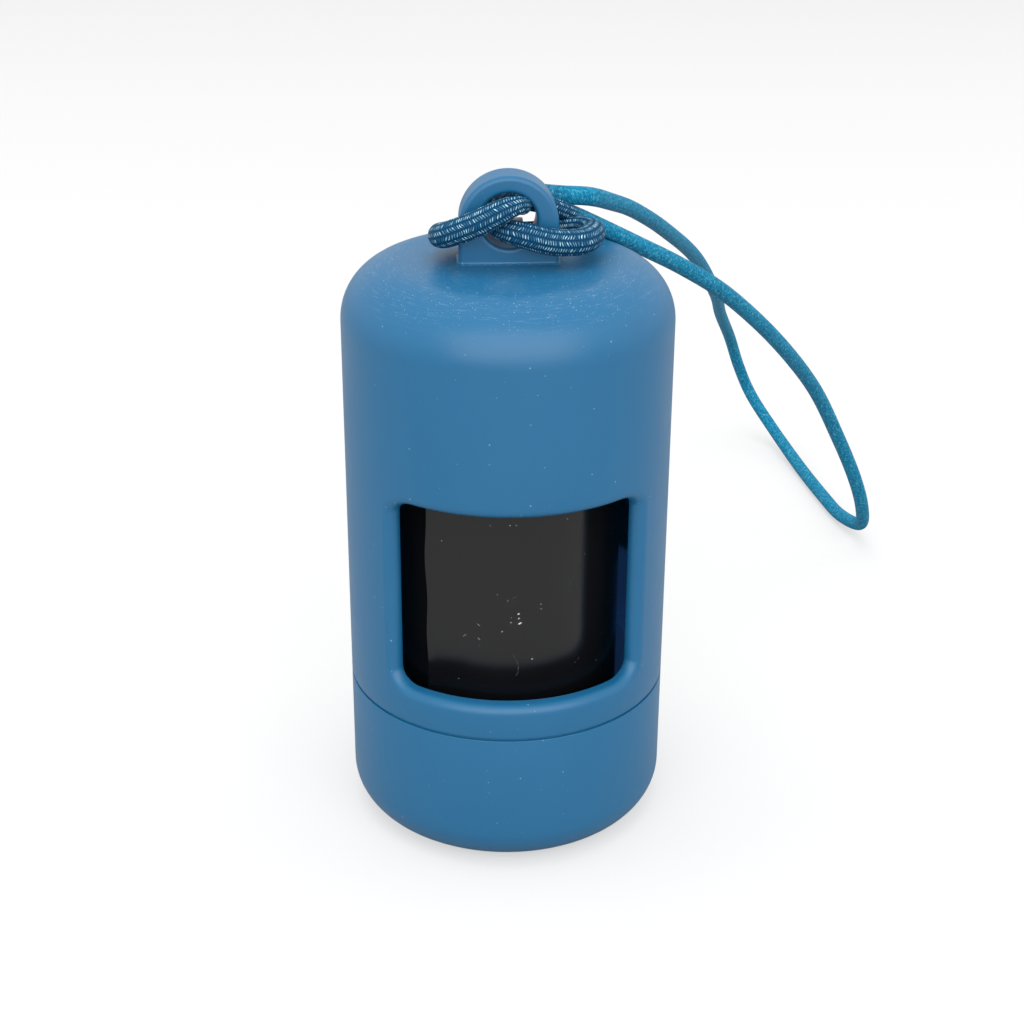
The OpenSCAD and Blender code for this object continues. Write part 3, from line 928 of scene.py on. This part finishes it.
def braidMaterial(name, look):
    # stitches lie across the cord in rows; every second row leans the other way
    material, tree, skin = newMaterial(name)
    uv = addNode(tree, "ShaderNodeUVMap", {"uv_map": "alongCord"}).outputs[0]
    split = addNode(tree, "ShaderNodeSeparateXYZ", None, {"Vector": uv})
    across = doMath(tree, "FRACT", split.outputs["X"])
    row = doMath(tree, "FLOOR", split.outputs["X"])
    odd = doMath(tree, "MODULO", row, 2.0)
    lean = doMath(tree, "MULTIPLY_ADD", odd, 2.0, -1.0)
    centred = doMath(tree, "SUBTRACT", across, 0.5)
    slant = times(tree, centred, lean, look["lean"])
    place = tree.nodes.new("ShaderNodeTexCoord").outputs["Object"]
    patch = addNoise(tree, place, look["patchScale"], 3.0)
    along = split.outputs["Y"]
    for shift in (slant, times(tree, row, look["rowShift"]), times(tree, patch, look["wander"])):
        along = doMath(tree, "ADD", along, shift)
    stitch = doMath(tree, "FLOOR", along)
    wave = doMath(tree, "ABSOLUTE", doMath(tree, "SINE", times(tree, along, math.pi)))
    arch = doMath(tree, "SINE", times(tree, across, math.pi))
    height = times(tree, doMath(tree, "POWER", wave, look["wavePower"]),
                   doMath(tree, "POWER", arch, look["archPower"]))
    key = addNode(tree, "ShaderNodeCombineXYZ", None, {"X": row, "Y": stitch})
    chance = addNode(tree, "ShaderNodeTexWhiteNoise", {"noise_dimensions": "3D"},
                     {"Vector": key.outputs[0]})
    crest = remap(tree, height, *look["crest"])
    # painted highlights on the crests of some stitches, coming and going along the cord
    highlightedStitches = times(tree, remap(tree, chance.outputs["Value"], *look["chance"]),
                 remap(tree, patch, *look["patch"], look["patchLeast"], 1.0))
    # drawn out along the loop, the crests sink in, and the painted highlights give way to a fine
    # pale mottle
    mottle = addNoise(tree, place, look["mottleScale"], 2.0, 0.7)
    slack = addNode(tree, "ShaderNodeAttribute", {"attribute_name": "slack"}).outputs["Fac"]
    tight = doMath(tree, "SUBTRACT", 1.0, slack)
    # the hitch's painted highlights sit on the stitch crests
    hitchCrestHighlight = times(tree, crest, highlightedStitches,
                       remap(tree, slack, 0.0, 1.0, look["highlightLeast"], look["highlightHitch"]))
    loopFleck = times(tree, tight, look["fleckLoop"],
                      remap(tree, mottle, *look["mottleFleck"]))
    fleckAndHighlight = doMath(tree, "ADD", hitchCrestHighlight, loopFleck)
    # painted shade: the hitch darkens to the groove colour where the stitches' relief is low
    hitchStrands = mixColour(tree, height, look["paintedGrooveShade"], look["thread"])
    loopStrands = mixColour(tree, remap(tree, mottle, *look["mottleStrand"]), look["loopGroove"],
                            look["loopThread"])
    strands = mixColour(tree, slack, loopStrands, hitchStrands)
    bright = mixColour(tree, fleckAndHighlight, strands, look["fleckAndHighlight"])
    dressSkin(tree, skin, look, bright, look["roughness"], height)
    return material


# the fleck colour serves both the loop's pale mottle and the painted highlights on the hitch's
# stitch crests
# the groove colour is painted shade for the low parts of the relief
cordBraid = {"paintedGrooveShade": (0.0005, 0.015, 0.05, 1), "thread": (0.0015, 0.07, 0.158, 1),
             "loopGroove": (0.003, 0.1, 0.2, 1), "loopThread": (0.005, 0.22, 0.37, 1),
             "fleckAndHighlight": (0.42, 0.68, 0.74, 1), "fleckLoop": 0.28, "highlightHitch": 0.95,
             "highlightLeast": 0.05,
             # lean of a stitch, shift from row to row, and how far stitches stray, in stitches
             "lean": 0.9, "rowShift": 0.37, "wander": 1.6,
             "wavePower": 0.7, "archPower": 0.3, "crest": (0.76, 0.95),
             "patchScale": 1100.0, "patch": (0.38, 0.58), "patchLeast": 0.25,
             "chance": (-0.1, 1.1),
             "mottleScale": 2600.0, "mottleFleck": (0.56, 0.74), "mottleStrand": (0.3, 0.65),
             "bumpStrength": 0.8, "bumpDistance": 0.00006,
             "roughness": 0.55, "specular": 0.1}


def plainGrain(name, look):
    material, tree, skin = newMaterial(name)
    place = tree.nodes.new("ShaderNodeTexCoord").outputs["Object"]
    laid = addNode(tree, "ShaderNodeMapping", None,
                   {"Vector": place, "Scale": look["stretch"]}).outputs[0]
    noise = addNoise(tree, laid, look["scale"], 5.0, 0.6)
    tinted = mixColour(tree, remap(tree, noise, *cloudRange), look["deep"], look["light"])
    dressSkin(tree, skin, look, tinted, look["roughness"], noise)
    return material


plainPaper = {"deep": (0.36, 0.26, 0.16, 1), "light": (0.5, 0.38, 0.25, 1), "scale": 500.0,
              "roughness": 0.85, "specular": 0.5, "stretch": (1, 1, 3),
              "bumpStrength": 0.5, "bumpDistance": 0.00005}
greyShrink = {"deep": (0.36, 0.34, 0.39, 1), "light": (0.46, 0.44, 0.5, 1), "scale": 900.0,
              "roughness": 0.4, "specular": 0.5, "stretch": (1, 1, 1),
              "bumpStrength": 0.5, "bumpDistance": 0.00003}

shellBlue = satinPlastic("shellBlue", bluePlastic)
capBlue = satinPlastic("capBlue", dict(bluePlastic, dustAmount=0.35))
film = filmMaterial("bagFilm", blackFilm)
braid = braidMaterial("cordBraid", cordBraid)
paper = plainGrain("corePaper", plainPaper)
sleevePlastic = plainGrain("sleevePlastic", greyShrink)

for piece, material, slotName, bodyName, nodes in (
        (body, shellBlue, "shell_plastic", "shell", ["upper_shell"]),
        (eye, shellBlue, "shell_plastic", "shell", ["upper_shell"]),
        (cap, capBlue, "cap_plastic", "cap", ["base_cap"]),
        (roll, film, "bag_film", "roll", ["bag_roll"]),
        (core, paper, "core_paper", "core", ["roll_core"]),
        (cord, braid, "cord_braid", "shell", ["elastic_cord"]),
        (sleeve, sleevePlastic, "sleeve_plastic", "shell", ["splice_sleeve"])):
    piece.data.materials.append(material)
    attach(piece, bodyName)
    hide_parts(*nodes)

print("materials and pieces joined to their bodies")


# --- floor, lamps and surroundings

stageSetup = {
    "floorSize": 3.0,                        # m
    "floorDiffuse": (0.37, 0.37, 0.37, 1),   # as it lights the object
    "floorSeen": (0.3, 0.3, 0.3, 1), "floorGlow": 0.53,   # as the camera sees it
    "surround": 0.78, "aimHigh": 45,
    "lamps": [
        # name, place mm, wide mm, high mm, watts, mirrored in the plastic
        ("frontSoft", (30, -594, 416), 1200, 740, 5.9, True),
        ("topSoft", (-60, 60, 900), 800, 800, 4.4, False),
        ("leftSoft", (-700, 150, 260), 900, 700, 2.2, False),
        ("rightSoft", (700, 150, 260), 900, 700, 2.2, False),
    ],
}


def addStage(s):
    bm = bmesh.new()
    bmesh.ops.create_grid(bm, x_segments=1, y_segments=1, size=s["floorSize"] / 2)
    floor = newObject("paleFloor", bm)
    material, tree, skin = newMaterial("floorWhite")
    tree.nodes.remove(skin)
    out = tree.nodes["Material Output"]
    plain = addNode(tree, "ShaderNodeBsdfDiffuse", None, {"Color": s["floorDiffuse"]})
    seen = addNode(tree, "ShaderNodeBsdfDiffuse", None, {"Color": s["floorSeen"]})
    glow = addNode(tree, "ShaderNodeEmission", None,
                   {"Color": (1, 1, 1, 1), "Strength": s["floorGlow"]})
    both = addNode(tree, "ShaderNodeAddShader", None, {0: seen.outputs[0], 1: glow.outputs[0]})
    path = tree.nodes.new("ShaderNodeLightPath")
    mix = addNode(tree, "ShaderNodeMixShader", None,
                  {0: path.outputs["Is Camera Ray"], 1: plain.outputs[0], 2: both.outputs[0]})
    tree.links.new(mix.outputs[0], out.inputs["Surface"])
    floor.data.materials.append(material)
    world = bpy.data.worlds.new("whiteSurround")
    scene.world = world
    world.use_nodes = True
    tree = world.node_tree
    back = tree.nodes["Background"]
    back.inputs["Color"].default_value = (1, 1, 1, 1)
    back.inputs["Strength"].default_value = s["surround"]
    white = addNode(tree, "ShaderNodeBackground", None, {"Color": (1, 1, 1, 1), "Strength": 1.0})
    path = tree.nodes.new("ShaderNodeLightPath")
    mix = addNode(tree, "ShaderNodeMixShader", None,
                  {0: path.outputs["Is Camera Ray"], 1: back.outputs[0], 2: white.outputs[0]})
    tree.links.new(mix.outputs[0], tree.nodes["World Output"].inputs["Surface"])
    for name, place, wide, high, watts, mirrored in s["lamps"]:
        data = bpy.data.lights.new(name, "AREA")
        data.shape = "RECTANGLE"
        data.size = wide * mm
        data.size_y = high * mm
        data.energy = watts
        lamp = bpy.data.objects.new(name, data)
        lamp.visible_camera = False
        lamp.visible_glossy = mirrored
        scene.collection.objects.link(lamp)
        away = Vector(place) - Vector((0, 0, s["aimHigh"]))
        lamp.matrix_world = (Matrix.Translation(Vector(place) * mm)
                             @ away.to_track_quat("Z", "Y").to_matrix().to_4x4())


addStage(stageSetup)
print("stage lit")
